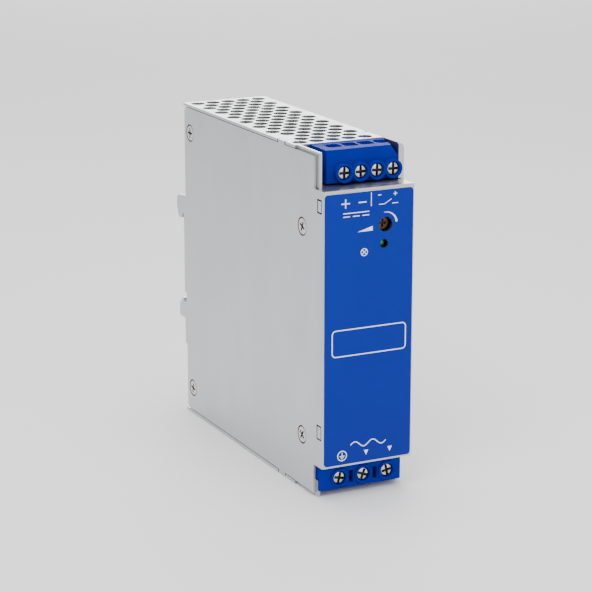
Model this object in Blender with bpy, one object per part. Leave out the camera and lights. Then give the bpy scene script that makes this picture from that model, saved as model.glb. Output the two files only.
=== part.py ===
"""DIN rail power supply: folded steel case, terminal blocks, rail clip and the power electronics inside.

Lengths in this file are millimetres and become metres when a mesh is made.
X runs across the width, Y points back to the rail and Z points up.  The origin is the
centre of the face that rests on the rail.  Two helper measures place most things:
depth, forward from the outside of the rear wall, and drop, down from the top face.
"""
import math

import bmesh
import bpy
from mathutils import Matrix, Vector

MM = 0.001

# Case
WIDTH = 36.0
HEIGHT = 123.4
DEPTH = 118.5
SHEET = 1.0
BEND = 2.0
FOLD = 1.0
RAIL_DROP = 62.3
SEAT = 3.3
HALF = WIDTH / 2
INSIDE = HALF - SHEET
GAP = 0.1
RUN_GAP = 0.3

# Openings for the terminal blocks, at the front of the top and bottom
ROOF_FRONT = 97.0
LEFT_FRONT = 111.7
RIGHT_FRONT = 109.7
CHEEK_FRONT = 113.6
LOW_CHEEK_FRONT = 113.0
LOW_CHEEK_DROP = 117.4
SHELF_DROP = 12.5
FLOOR_DROP = 111.5
LIP = 2.1

# Ventilation holes
HOLE_PITCH = 6.35
HOLE_RADIUS = 2.4
HOLE_ROWS = 17
HOLE_FIRST_DEPTH = 5.0
HOLE_FIRST_X = -14.0

# Interlocking tabs between the two sheets
TAB_DEPTHS = (83.2, 89.4)
WINDOW_DEPTHS = (114.2, 117.6)
WINDOW_DROPS = ((15.5, 20.5), (96.0, 101.4))

# Screws through the left side
CASE_SCREWS = ((6.0, 10.9), (6.0, 113.0), (102.7, 27.5), (102.7, 103.2))
CASE_HEAD_RADIUS = 2.9
CASE_SHANK_RADIUS = 1.4

# Front label, trimmer and indicator
LABEL_THICK = 0.25
LABEL_X = (-17.4, 16.9)
LABEL_DROPS = (13.8, 110.8)
LABEL_CORNER = 1.2
TRIMMER_X = 6.1
TRIMMER_DROP = 25.9
TRIMMER_HOLE = 2.6
TRIMMER_RADIUS = 2.3
LED_X = 5.6
LED_DROP = 32.7
LED_HOLE = 1.55
LED_RADIUS = 1.4
FRONT_HOLES = ((TRIMMER_X, TRIMMER_DROP, TRIMMER_HOLE, 16), (LED_X, LED_DROP, LED_HOLE, 12))
TRIMMER_SUNK = 2.2
LED_SUNK = 1.4
CONTROL_BACK = 108.6

# Terminal blocks and their screw clamps
OUT_PITCH = 6.35
OUT_FIRST_X = -6.0
OUT_POLES = 4
OUT_FACE = 111.6
OUT_BODY_FRONT = 109.5
OUT_BODY_BACK = 92.0
OUT_AXIS_DROP = 8.4
IN_PITCH = 9.5
IN_FIRST_X = -8.9
IN_POLES = 3
IN_FACE = 114.6
IN_BODY_FRONT = 113.9
IN_BODY_BACK = 95.0
IN_AXIS_DROP = 117.3
BLOCK_RIGHT = 15.7
# Clamp sizes: half width, half window, window length, travel, half height, half of the wire entry
OUT_CLAMP = (2.6, 2.05, 4.7, 2.5, 2.2, 2.3)
IN_CLAMP = (3.2, 2.5, 5.7, 3.2, 2.4, 2.7)
HEAD_RADIUS = 2.2
HEAD_THICK = 1.5
HEAD_SUNK = 0.7
SHANK_RADIUS = 1.3
WELL_RADIUS = 2.5

# Rail clip
CLIP_HALF = 17.0
CLIP_SHEET = 1.5
HOOK_TOP = 36.8
RAIL_TOP = 44.6
RAIL_SLOT = 1.3
PAD_HALF = 4.0
LATCH_EDGE = 80.0
LATCH_TOOTH = 78.8
LATCH_END = 119.5
PLATE_END = 98.0
CLIP_SCREW_X = (-9.0, 9.0)
CLIP_SCREW_DROP = 55.0
RIVET_X = (-10.5, 10.5)
RIVET_DROP = 93.0
STRUT_DROP = 102.0
WINDOW_TOP = 89.0
SPRING_RADIUS = 1.9
SPRING_WIRE = 0.3
SPRING_TURNS = 7

# Main board
BOARD_X = (12.6, 14.2)


def y_at(depth):
    return -(SEAT + depth)


def z_at(drop):
    return RAIL_DROP - drop


def material(name, colour, roughness, metallic):
    found = bpy.data.materials.get(name)
    if found:
        return found
    made = bpy.data.materials.new(name)
    made.use_nodes = True
    shader = made.node_tree.nodes["Principled BSDF"]
    shader.inputs["Base Color"].default_value = (*colour, 1.0)
    shader.inputs["Roughness"].default_value = roughness
    shader.inputs["Metallic"].default_value = metallic
    made.diffuse_color = (*colour, 1.0)
    return made


def steel():
    return material("zinc_steel", (0.60, 0.61, 0.63), 0.38, 1.0)


def nickel():
    return material("nickel_steel", (0.66, 0.65, 0.62), 0.25, 1.0)


def spring_wire():
    return material("spring_wire", (0.35, 0.35, 0.36), 0.3, 1.0)


def blue_plastic():
    return material("blue_plastic", (0.01, 0.06, 0.40), 0.4, 0.0)


def blue_film():
    return material("blue_film", (0.005, 0.05, 0.42), 0.35, 0.0)


def copper():
    return material("tinned_copper", (0.72, 0.60, 0.45), 0.35, 1.0)


def board_green():
    return material("board_laminate", (0.02, 0.16, 0.07), 0.5, 0.0)


def ferrite():
    return material("ferrite", (0.05, 0.05, 0.055), 0.6, 0.0)


def winding_tape():
    return material("winding_tape", (0.75, 0.55, 0.08), 0.5, 0.0)


def aluminium():
    return material("aluminium", (0.70, 0.71, 0.72), 0.35, 1.0)


def black_plastic():
    return material("black_plastic", (0.02, 0.02, 0.022), 0.45, 0.0)


def capacitor_sleeve():
    return material("capacitor_sleeve", (0.03, 0.04, 0.09), 0.4, 0.0)


def trimmer_amber():
    return material("trimmer_amber", (0.30, 0.13, 0.03), 0.4, 0.0)


def led_green():
    return material("led_green", (0.02, 0.30, 0.06), 0.15, 0.0)


def insulation_film():
    return material("insulation_film", (0.75, 0.74, 0.70), 0.4, 0.0)


def fuse_ceramic():
    return material("fuse_ceramic", (0.80, 0.78, 0.72), 0.3, 0.0)


def new_object(name, bm, look, smooth=False, origin=(0.0, 0.0, 0.0)):
    """Turn a millimetre bmesh into an object in metres whose origin is the given point."""
    bmesh.ops.recalc_face_normals(bm, faces=bm.faces)
    bmesh.ops.translate(bm, verts=bm.verts, vec=-Vector(origin))
    bmesh.ops.scale(bm, verts=bm.verts, vec=(MM, MM, MM))
    mesh = bpy.data.meshes.new(name)
    bm.to_mesh(mesh)
    bm.free()
    if look:
        mesh.materials.append(look)
    thing = bpy.data.objects.new(name, mesh)
    thing.location = Vector(origin) * MM
    bpy.context.scene.collection.objects.link(thing)
    if smooth:
        mesh.shade_smooth()
        mesh.set_sharp_from_angle(angle=math.radians(40))
    return thing


def box_mesh(bm, x, depth, drop):
    """Add a box between two values of x, of depth and of drop."""
    low = Vector((min(x), y_at(max(depth)), z_at(max(drop))))
    high = Vector((max(x), y_at(min(depth)), z_at(min(drop))))
    size = high - low
    place = Matrix.Translation((low + high) / 2) @ Matrix.Diagonal((*size, 1.0))
    bmesh.ops.create_cube(bm, size=1.0, matrix=place)


def box(name, look, x, depth, drop):
    bm = bmesh.new()
    box_mesh(bm, x, depth, drop)
    return new_object(name, bm, look)


def prism_mesh(bm, outline, low, high, place):
    """Extrude a closed outline between two levels; place maps (a, b, level) to a point."""
    bottom = [bm.verts.new(place(a, b, low)) for a, b in outline]
    top = [bm.verts.new(place(a, b, high)) for a, b in outline]
    bm.faces.new(bottom)
    bm.faces.new(list(reversed(top)))
    count = len(outline)
    for index in range(count):
        after = (index + 1) % count
        bm.faces.new((bottom[after], bottom[index], top[index], top[after]))


def across(a, b, level):
    """Outline in depth and drop, extruded along X."""
    return Vector((level, y_at(a), z_at(b)))


def forward(a, b, level):
    """Outline in x and drop, extruded along the depth."""
    return Vector((a, y_at(level), z_at(b)))


def upward(a, b, level):
    """Outline in x and depth, extruded along the drop."""
    return Vector((a, y_at(b), z_at(level)))


def prism(name, look, outline, low, high, place, smooth=False, origin=(0.0, 0.0, 0.0)):
    bm = bmesh.new()
    prism_mesh(bm, outline, low, high, place)
    return new_object(name, bm, look, smooth, origin)


def arc(centre, radius, start, end, steps):
    """Points on an arc, angles in degrees."""
    points = []
    for index in range(steps + 1):
        angle = math.radians(start + (end - start) * index / steps)
        points.append((centre[0] + radius * math.cos(angle), centre[1] + radius * math.sin(angle)))
    return points


def ring(centre, radius, sides, turn=0.0):
    return arc(centre, radius, turn, turn + 360.0 - 360.0 / sides, sides - 1)


def round_rect(x, drop, radius, steps=3):
    corners = (
        ((x[1] - radius, drop[1] - radius), 0),
        ((x[0] + radius, drop[1] - radius), 90),
        ((x[0] + radius, drop[0] + radius), 180),
        ((x[1] - radius, drop[0] + radius), 270),
    )
    points = []
    for centre, start in corners:
        points += arc(centre, radius, start, start + 90, steps)
    return points


def turned(name, look, profile, centre, sides, origin=None, smooth=True, tool=False):
    """Turn (radius, depth) points about a line along Y through centre = (x, drop)."""
    bm = bmesh.new()
    rings = []
    for radius, depth in profile:
        if radius == 0.0:
            rings.append([bm.verts.new(forward(centre[0], centre[1], depth))])
        else:
            rings.append([bm.verts.new(forward(a, b, depth)) for a, b in ring(centre, radius, sides)])
    for first, second in zip(rings, rings[1:]):
        for index in range(sides):
            after = (index + 1) % sides
            corners = [first[index % len(first)], first[after % len(first)]]
            corners += [second[after % len(second)], second[index % len(second)]]
            bm.faces.new(list(dict.fromkeys(corners)))
    if len(rings[0]) > 1:
        bm.faces.new(rings[0])
    if len(rings[-1]) > 1:
        bm.faces.new(rings[-1])
    place = origin or (0.0, 0.0, 0.0)
    return new_object(name, bm, None if tool else look, smooth and not tool, place)


def combine(thing, tool, operation):
    """Apply one Boolean to an object and drop the tool."""
    step = thing.modifiers.new(operation.title(), "BOOLEAN")
    step.operation = operation
    step.solver = "EXACT"
    step.object = tool
    evaluated = thing.evaluated_get(bpy.context.evaluated_depsgraph_get())
    result = bpy.data.meshes.new_from_object(evaluated)
    old = thing.data
    thing.modifiers.clear()
    thing.data = result
    result.name = thing.name
    bpy.data.meshes.remove(old)
    bpy.data.objects.remove(tool)
    return thing


def cut(thing, tool):
    return combine(thing, tool, "DIFFERENCE")


def join(thing, tool):
    return combine(thing, tool, "UNION")


def cut_box(thing, x, depth, drop):
    return cut(thing, box("cutter", None, x, depth, drop))


def join_box(thing, x, depth, drop):
    return join(thing, box("piece", None, x, depth, drop))


def smooth_sides(thing, angle=40):
    thing.data.shade_smooth()
    thing.data.set_sharp_from_angle(angle=math.radians(angle))


def vent_cutter(drops):
    """Rows of staggered round holes as one mesh of six-sided prisms."""
    bm = bmesh.new()
    row_step = HOLE_PITCH * math.sqrt(3) / 2
    for row in range(HOLE_ROWS):
        shift = (row % 2) * HOLE_PITCH / 2
        for column in range(5 - row % 2):
            x = HOLE_FIRST_X + shift + column * HOLE_PITCH
            depth = HOLE_FIRST_DEPTH + row * row_step
            beside_tab = column == 0 and shift == 0 and TAB_DEPTHS[0] - 3 < depth < TAB_DEPTHS[1] + 3
            if beside_tab or depth > ROOF_FRONT - 3.5:
                continue
            outline = ring((x, depth), HOLE_RADIUS, 6, 30)
            prism_mesh(bm, outline, drops[0], drops[1], upward)
    return new_object("cutter", bm, None)


def make_chassis():
    """Right side, top and bottom folded from one sheet, with flanges behind the left side."""
    steps = 3
    inner = BEND - SHEET
    end = HALF - BEND
    low = HEIGHT - BEND
    outline = [(-HALF, 0.0)]
    outline += arc((end, BEND), BEND, -90, 0, steps)
    outline += arc((end, low), BEND, 0, 90, steps)
    outline += [(-HALF, HEIGHT), (-HALF, HEIGHT - SHEET)]
    outline += arc((end, low), inner, 90, 0, steps)
    outline += arc((end, BEND), inner, 0, -90, steps)
    outline += [(-HALF, SHEET)]
    sheet = prism("chassis", steel(), outline, 0.0, DEPTH - SHEET - RUN_GAP, forward)

    flange = (-INSIDE + GAP, -INSIDE + GAP + SHEET)
    rear_flange = 12.0
    rear_drop = 17.0
    for drops in ((0.4, rear_drop), (HEIGHT - 0.4, HEIGHT - rear_drop)):
        join_box(sheet, flange, (2.0, rear_flange), drops)
    for drops in ((0.4, 33.0), (HEIGHT - 0.4, 92.0)):
        join_box(sheet, flange, (90.0, DEPTH - SHEET - RUN_GAP), drops)

    for drops in ((-1.0, SHELF_DROP + SHEET + GAP), (FLOOR_DROP - SHEET - GAP, HEIGHT + 1.0)):
        cut_box(sheet, (flange[1], INSIDE), (ROOF_FRONT, DEPTH), drops)
        cut_box(sheet, (-HALF - 1, flange[0]), (ROOF_FRONT, DEPTH), drops)
        cut_box(sheet, (INSIDE - 0.1, HALF + 1), (RIGHT_FRONT, DEPTH), drops)
    cut_box(sheet, (-HALF - 1, 0.0), (CHEEK_FRONT, DEPTH), (-1.0, SHELF_DROP + SHEET + GAP))
    cut_box(sheet, (-HALF - 1, 0.0), (LOW_CHEEK_FRONT, DEPTH), (FLOOR_DROP - SHEET - GAP, HEIGHT + 1))
    cut_box(sheet, (-HALF - 1, 0.0), (LEFT_FRONT - 3, DEPTH), (FLOOR_DROP - SHEET - GAP, LOW_CHEEK_DROP))

    for drops in ((1.2, SHELF_DROP - 0.2), (FLOOR_DROP + 0.2, HEIGHT - 1.2)):
        join_box(sheet, (HALF - LIP, HALF - 0.3), (RIGHT_FRONT - SHEET, RIGHT_FRONT), drops)
    for drops in ((-1.0, 2.6), (HEIGHT - 2.6, HEIGHT + 1.0)):
        cut_box(sheet, (HALF - 2.6, HALF + 1), (84.4, 86.0), drops)

    left_edge = (-HALF - 1, -INSIDE + GAP)
    for drops in ((-1.0, SHEET + 0.4), (HEIGHT - SHEET - 0.4, HEIGHT + 1.0)):
        cut_box(sheet, left_edge, TAB_DEPTHS, drops)
    for top, bottom in WINDOW_DROPS:
        tab_depth = (WINDOW_DEPTHS[0] + RUN_GAP, DEPTH - SHEET - RUN_GAP)
        join_box(sheet, (-HALF, -INSIDE + 0.6), tab_depth, (top + RUN_GAP, bottom - RUN_GAP))
    for depth, drop in CASE_SCREWS:
        hole = prism("cutter", None, ring((depth, drop), CASE_SHANK_RADIUS + 0.15, 8), -HALF, -14, across)
        cut(sheet, hole)
    cut(sheet, vent_cutter((-1.0, SHEET + 1.0)))
    cut(sheet, vent_cutter((HEIGHT - SHEET - 1.0, HEIGHT + 1.0)))
    return sheet


def make_cover():
    """Rear wall, left side and front face folded from one sheet, with the two shelves."""
    steps = 3
    top = SHEET + GAP
    bottom = HEIGHT - SHEET - GAP
    right = INSIDE - GAP
    front_right = 17.3
    outline = [(right, 0.0)]
    outline += arc((-HALF + FOLD, FOLD), FOLD, 270, 180, steps)
    outline += arc((-HALF + FOLD, DEPTH - FOLD), FOLD, 180, 90, steps)
    outline += [(front_right, DEPTH), (front_right, DEPTH - SHEET)]
    outline += [(-INSIDE, DEPTH - SHEET), (-INSIDE, SHEET), (right, SHEET)]
    sheet = prism("cover", steel(), outline, top, bottom, upward)

    for drops in ((-1.0, SHELF_DROP), (FLOOR_DROP, HEIGHT + 1.0)):
        cut_box(sheet, (-HALF - 1, HALF + 1), (LEFT_FRONT, DEPTH + 1), drops)
    shelf_x = (-INSIDE - 0.3, INSIDE - GAP)
    for drops in ((SHELF_DROP, SHELF_DROP + SHEET), (FLOOR_DROP - SHEET, FLOOR_DROP)):
        join_box(sheet, shelf_x, (LEFT_FRONT + 2.2, DEPTH - 0.3), drops)
        join_box(sheet, (-INSIDE + SHEET + 2 * GAP, INSIDE - GAP), (ROOF_FRONT + 1.5, DEPTH - 0.3), drops)
    tab = (TAB_DEPTHS[0] + RUN_GAP, TAB_DEPTHS[1] - RUN_GAP)
    join_box(sheet, (-HALF, -INSIDE), tab, (0.0, 3.0))
    join_box(sheet, (-HALF, -INSIDE), tab, (HEIGHT - 3.0, HEIGHT))
    for window in WINDOW_DROPS:
        cut_box(sheet, (-HALF - 1, -INSIDE + 0.05), WINDOW_DEPTHS, window)
    for drops in ((0.0, 2.4), (HEIGHT - 2.4, HEIGHT)):
        cut_box(sheet, (-HALF - 1, -INSIDE + 0.6), (-1.0, SHEET + 0.6), drops)
        cut_box(sheet, (right - 1.0, HALF), (-1.0, SHEET + 0.6), drops)
    for depth, drop in CASE_SCREWS:
        bm = bmesh.new()
        wide = [bm.verts.new(across(a, b, -HALF - 0.2)) for a, b in ring((depth, drop), 3.4, 12)]
        tight = [bm.verts.new(across(a, b, -INSIDE + 0.2)) for a, b in ring((depth, drop), 1.75, 12)]
        bm.faces.new(wide)
        bm.faces.new(tight)
        for index in range(12):
            after = (index + 1) % 12
            bm.faces.new((wide[index], wide[after], tight[after], tight[index]))
        cut(sheet, new_object("cutter", bm, None))
    for x, drop, radius, sides in FRONT_HOLES:
        cut(sheet, prism("cutter", None, ring((x, drop), radius, sides), DEPTH - 2, DEPTH + 1, forward))
    for x in CLIP_SCREW_X:
        cut(sheet, prism("cutter", None, ring((x, CLIP_SCREW_DROP), 1.6, 8), -1, 2, forward))
    return sheet


def make_label():
    back = DEPTH + GAP / 2
    front = back + LABEL_THICK
    outline = round_rect(LABEL_X, LABEL_DROPS, LABEL_CORNER)
    label = prism("front_label", blue_film(), outline, back, front, forward)
    for x, drop, radius, sides in FRONT_HOLES:
        cut(label, prism("cutter", None, ring((x, drop), radius, sides), DEPTH - 1, DEPTH + 2, forward))
    return label


def make_case_screw(name, depth, drop):
    """Countersunk screw through the left side into a flange."""
    rings = (
        (-HALF, CASE_HEAD_RADIUS, 12),
        (-HALF + 0.95, CASE_SHANK_RADIUS, 12),
        (-HALF + 6.0, CASE_SHANK_RADIUS, 12),
    )
    bm = bmesh.new()
    loops = []
    for level, radius, sides in rings:
        loops.append([bm.verts.new(across(a, b, level)) for a, b in ring((depth, drop), radius, sides)])
    bm.faces.new(loops[0])
    bm.faces.new(loops[-1])
    for first, second in zip(loops, loops[1:]):
        for index in range(12):
            after = (index + 1) % 12
            bm.faces.new((first[index], first[after], second[after], second[index]))
    screw = new_object(name, bm, nickel())
    cross(screw, (depth, drop), -HALF - 0.5, -HALF + 0.5, across, 1.5, 0.32)
    return screw


def cross(thing, centre, low, high, place, reach, half):
    """Cut a cross recess with four arms."""
    outline = []
    for turn in range(4):
        angle = math.radians(90 * turn)
        for along, aside in ((half, half), (reach, half), (reach, -half)):
            a = along * math.cos(angle) + aside * math.sin(angle)
            b = along * math.sin(angle) - aside * math.cos(angle)
            outline.append((centre[0] + a, centre[1] + b))
    ordered = sorted(outline, key=lambda p: math.atan2(p[1] - centre[1], p[0] - centre[0]))
    cut(thing, prism("cutter", None, ordered, low, high, place))


def make_clamp(prefix, index, x, face, axis_drop, up, sizes):
    """Screw, rising cage and contact bar of one pole.  Gives the cutters of its block."""
    half, window_half, window, travel, cage_half, entry_half = sizes
    head_front = face - HEAD_SUNK
    head_back = head_front - HEAD_THICK
    wall_back = face - 3.1
    cage_front = wall_back - 0.2 - travel
    bar_front = cage_front - 1.2
    cage_back = cage_front - 1.0 - window - 0.9
    tip = bar_front + 0.1

    axis = (x, y_at(0.0), z_at(axis_drop))
    profile = ((HEAD_RADIUS - 0.25, head_front), (HEAD_RADIUS, head_front - 0.25), (HEAD_RADIUS, head_back),
               (SHANK_RADIUS, head_back), (SHANK_RADIUS, tip))
    screw = turned(prefix + "_screw_%d" % index, nickel(), profile, (x, axis_drop), 12, axis)
    cross(screw, (x, axis_drop), head_front - 0.9, head_front + 1, forward, 1.7, 0.38)
    smooth_sides(screw)

    cage_drops = (axis_drop - cage_half, axis_drop + cage_half)
    cage_x = (x - half, x + half)
    cage = box(prefix + "_cage_%d" % index, nickel(), cage_x, (cage_back, cage_front), cage_drops)
    cut_box(cage, (x - window_half, x + window_half), (cage_back + 0.9, cage_front - 1.0),
            (cage_drops[0] - 1, cage_drops[1] + 1))
    hole = ring((x, axis_drop), SHANK_RADIUS + 0.15, 8)
    cut(cage, prism("cutter", None, hole, cage_front - 2, cage_front + 1, forward))

    tail_near = axis_drop + up * (cage_half + 0.25)
    tail_far = axis_drop + up * (cage_half + 0.85)
    bar_end = axis_drop - up * (cage_half - 0.2)
    back = face - 22.5
    bar = box(prefix + "_contact_%d" % index, copper(), (x - 1.3, x + 1.3), (bar_front - 0.8, bar_front),
              (bar_end, tail_far))
    join_box(bar, (x - 1.3, x + 1.3), (back, bar_front), (tail_near, tail_far))

    cavity_back = cage_back - 0.3
    cavity = (axis_drop - up * (cage_half + 0.2), axis_drop + up * (cage_half + 1.0))
    outside = -1.0 if up > 0 else HEIGHT + 1.0
    tools = [box("cutter", None, (x - half - 0.2, x + half + 0.2), (cavity_back, wall_back), cavity)]
    tools.append(box("cutter", None, (x - entry_half, x + entry_half), (cage_back + 0.9, bar_front - 0.1),
                     (outside, axis_drop - up * cage_half)))
    tools.append(box("cutter", None, (x - 1.5, x + 1.5), (back - 10, cavity_back + 1),
                     (tail_near - up * 0.1, tail_far + up * 0.15)))
    well = ring((x, axis_drop), WELL_RADIUS, 16)
    tools.append(prism("cutter", None, well, head_back - 0.2, face + 1, forward))
    shank = ring((x, axis_drop), SHANK_RADIUS + 0.3, 8)
    tools.append(prism("cutter", None, shank, wall_back - 1, head_back, forward))
    return tools


def make_output_block():
    """Four-pole block at the top front: wires come from above, screws face forward."""
    depths = (OUT_BODY_BACK, OUT_BODY_FRONT)
    body = box("output_terminal_block", blue_plastic(), (-12.2, BLOCK_RIGHT), depths, (0.3, 11.9))
    tools = []
    for pole in range(OUT_POLES):
        x = OUT_FIRST_X + pole * OUT_PITCH
        boss = prism("piece", None, ring((x, OUT_AXIS_DROP), 3.35, 16), OUT_BODY_FRONT - 1, OUT_FACE, forward)
        join(body, boss)
        tools += make_clamp("output", pole + 1, x, OUT_FACE, OUT_AXIS_DROP, 1, OUT_CLAMP)
    under_roof = (OUT_BODY_BACK - 1, ROOF_FRONT + RUN_GAP)
    tools.append(box("cutter", None, (-HALF, HALF), under_roof, (-1.0, SHEET + RUN_GAP)))
    beside_lip = (OUT_BODY_BACK, RIGHT_FRONT + RUN_GAP)
    tools.append(box("cutter", None, (BLOCK_RIGHT, HALF), beside_lip, (-1.0, SHELF_DROP)))
    for tool in tools:
        cut(body, tool)
    corner = bmesh.new()
    points = [across(OUT_BODY_FRONT + 1, -1.2, 11.5), across(OUT_BODY_BACK - 1, -1.2, 17.0),
              across(OUT_BODY_FRONT + 1, 5.6, 16.2), across(OUT_BODY_FRONT + 1, -1.2, 17.0)]
    verts = [corner.verts.new(point) for point in points]
    for face in ((0, 1, 2), (0, 2, 3), (0, 3, 1), (1, 3, 2)):
        corner.faces.new([verts[index] for index in face])
    cut(body, new_object("cutter", corner, None))
    return body


def make_input_block():
    """Three-pole block at the bottom front: wires come from below, screws face forward."""
    left = -INSIDE + GAP + SHEET + RUN_GAP
    depths = (IN_BODY_BACK, IN_BODY_FRONT)
    body = box("input_terminal_block", blue_plastic(), (left, BLOCK_RIGHT), depths, (112.3, 121.3))
    join_box(body, (-16.7, 0.0), (LOW_CHEEK_FRONT + RUN_GAP, IN_BODY_FRONT), (112.3, 121.3))
    join_box(body, (-16.7, 0.0), (LEFT_FRONT - 2.5, IN_BODY_FRONT), (112.3, LOW_CHEEK_DROP - RUN_GAP))
    tools = []
    for pole in range(IN_POLES):
        x = IN_FIRST_X + pole * IN_PITCH
        outline = ring((x, IN_AXIS_DROP), 3.6, 8, 22.5)
        join(body, prism("piece", None, outline, IN_BODY_FRONT - 1, IN_FACE, forward))
        tools += make_clamp("input", pole + 1, x, IN_FACE, IN_AXIS_DROP, -1, IN_CLAMP)
        if pole < IN_POLES - 1:
            slot = (x + IN_PITCH / 2 - 0.8, x + IN_PITCH / 2 + 0.8)
            tools.append(box("cutter", None, slot, (IN_BODY_FRONT - 3.5, IN_FACE), (115.2, 119.6)))
    for tool in tools:
        cut(body, tool)
    return body


def at_back(a, b, level):
    """Outline in distance behind the rear wall and drop, extruded along X."""
    return Vector((level, y_at(-a), z_at(b)))


def make_bracket():
    """Channel on the rear wall whose two sides end in hooks for the top edge of the rail."""
    plate = (GAP, GAP + CLIP_SHEET)
    seat = SEAT
    slot = seat + RAIL_SLOT
    hook = [(plate[0], HOOK_TOP), (8.2, 37.6)]
    hook += [(9.6, 38.8), (10.2, 40.8), (9.0, 45.0), (7.4, 46.6), (slot, 46.2), (slot, RAIL_TOP)]
    hook += [(seat, RAIL_TOP), (seat, 76.0), (plate[0], 76.0)]
    drops = (HOOK_TOP, PLATE_END)
    bracket = box("rail_bracket", steel(), (-CLIP_HALF, CLIP_HALF), (-plate[1], -plate[0]), drops)
    for side in (-1, 1):
        inner = side * (CLIP_HALF - CLIP_SHEET)
        join(bracket, prism("piece", None, hook, side * CLIP_HALF, inner, at_back))
    join_box(bracket, (-PAD_HALF, PAD_HALF), (-seat, -plate[0]), (RAIL_DROP - PAD_HALF, RAIL_DROP + PAD_HALF))
    join_box(bracket, (-2.4, 2.4), (-6.4, -plate[0]), (STRUT_DROP - 1.2, STRUT_DROP))
    join_box(bracket, (-2.4, 2.4), (-plate[1], -plate[0]), (PLATE_END - 1.0, STRUT_DROP))
    for x in CLIP_SCREW_X:
        cut(bracket, prism("cutter", None, ring((x, CLIP_SCREW_DROP), 1.6, 8), -4, 2, forward))
    for x in RIVET_X:
        cut(bracket, prism("cutter", None, ring((x, RIVET_DROP), 1.3, 8), -4, 2, forward))
    return bracket


def make_latch():
    """Sliding plate under the rail with two teeth, a pull eye and a window for its spring."""
    low = GAP + CLIP_SHEET + 0.1
    high = low + CLIP_SHEET - 0.1
    slot = SEAT + RAIL_SLOT
    tooth = [(low, LATCH_EDGE), (slot, LATCH_EDGE), (slot, LATCH_TOOTH), (5.6, LATCH_TOOTH), (8.4, 82.0)]
    tooth += [(8.5, 86.6), (high, 86.6), (low, 86.6)]
    drops = (LATCH_EDGE + 0.8, PLATE_END - 1.0)
    latch = box("rail_latch", steel(), (-CLIP_HALF, CLIP_HALF), (-high, -low), drops)
    join_box(latch, (-6.5, 6.5), (-high, -low), (PLATE_END - 2.0, LATCH_END))
    for side in (-1, 1):
        inner = side * (CLIP_HALF - CLIP_SHEET)
        join(latch, prism("piece", None, tooth, side * CLIP_HALF, inner, at_back))
    cut_box(latch, (-2.8, 2.8), (-high - 1, -low + 1), (WINDOW_TOP, 107.0))
    join_box(latch, (-2.8, 2.8), (-6.4, -low), (WINDOW_TOP - 1.4, WINDOW_TOP))
    cut_box(latch, (-2.6, 2.6), (-high - 1, -low + 1), (LATCH_END - 5.0, LATCH_END - 2.4))
    for x in RIVET_X:
        cut_box(latch, (x - 1.4, x + 1.4), (-high - 1, -low + 1), (RIVET_DROP - 5.6, RIVET_DROP + 1.5))
    return latch


def make_spring():
    """Compression spring between the bracket's strut and the latch."""
    top = WINDOW_TOP + 0.15
    bottom = STRUT_DROP - 1.35
    centre_y = y_at(-4.2)
    around = 10
    sides = 5
    total = SPRING_TURNS * around
    bm = bmesh.new()
    loops = []
    for index in range(total + 1):
        turn = 2 * math.pi * index / around
        height = z_at(bottom - SPRING_WIRE) + (bottom - top - 2 * SPRING_WIRE) * index / total
        centre = Vector((SPRING_RADIUS * math.cos(turn), centre_y + SPRING_RADIUS * math.sin(turn), height))
        outward = Vector((math.cos(turn), math.sin(turn), 0.0))
        loop = []
        for side in range(sides):
            angle = 2 * math.pi * side / sides
            offset = outward * math.cos(angle) + Vector((0, 0, 1)) * math.sin(angle)
            loop.append(bm.verts.new(centre + offset * SPRING_WIRE))
        loops.append(loop)
    for first, second in zip(loops, loops[1:]):
        for side in range(sides):
            after = (side + 1) % sides
            bm.faces.new((first[side], first[after], second[after], second[side]))
    bm.faces.new(loops[0])
    bm.faces.new(loops[-1])
    return new_object("latch_spring", bm, spring_wire(), True)


def make_clip_fasteners():
    plate = -GAP - CLIP_SHEET
    for index, x in enumerate(CLIP_SCREW_X):
        profile = ((2.6, plate - 1.4), (2.6, plate - 0.1), (1.3, plate - 0.1), (1.3, 3.0))
        screw = turned("bracket_screw_%d" % (index + 1), nickel(), profile, (x, CLIP_SCREW_DROP), 12)
        cross(screw, (x, CLIP_SCREW_DROP), plate - 2.4, plate - 0.8, forward, 1.7, 0.35)
    head = GAP + 2 * CLIP_SHEET + 0.2
    for index, x in enumerate(RIVET_X):
        profile = ((2.0, -head - 1.0), (2.3, -head - 0.6), (2.3, -head), (1.1, -head), (1.1, -GAP - 0.05))
        turned("latch_rivet_%d" % (index + 1), nickel(), profile, (x, RIVET_DROP), 10)


def make_controls():
    """Voltage trimmer and indicator lamp behind the front face."""
    face = DEPTH - TRIMMER_SUNK
    box("trimmer_body", black_plastic(), (TRIMMER_X - 3.4, TRIMMER_X + 3.4), (CONTROL_BACK, face - 1.5),
        (TRIMMER_DROP - 3.1, TRIMMER_DROP + 3.1))
    axis = (TRIMMER_X, y_at(0.0), z_at(TRIMMER_DROP))
    profile = ((TRIMMER_RADIUS, face), (TRIMMER_RADIUS, face - 1.2))
    rotor = turned("trimmer_rotor", trimmer_amber(), profile, (TRIMMER_X, TRIMMER_DROP), 16, axis)
    cross(rotor, (TRIMMER_X, TRIMMER_DROP), face - 0.7, face + 1, forward, 1.6, 0.35)
    smooth_sides(rotor)
    tip = DEPTH - LED_SUNK
    lamp = ((LED_RADIUS * 0.5, tip), (LED_RADIUS * 0.87, tip - 0.6), (LED_RADIUS, tip - 1.4),
            (LED_RADIUS, CONTROL_BACK))
    turned("status_lamp", led_green(), lamp, (LED_X, LED_DROP), 12)


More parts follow.
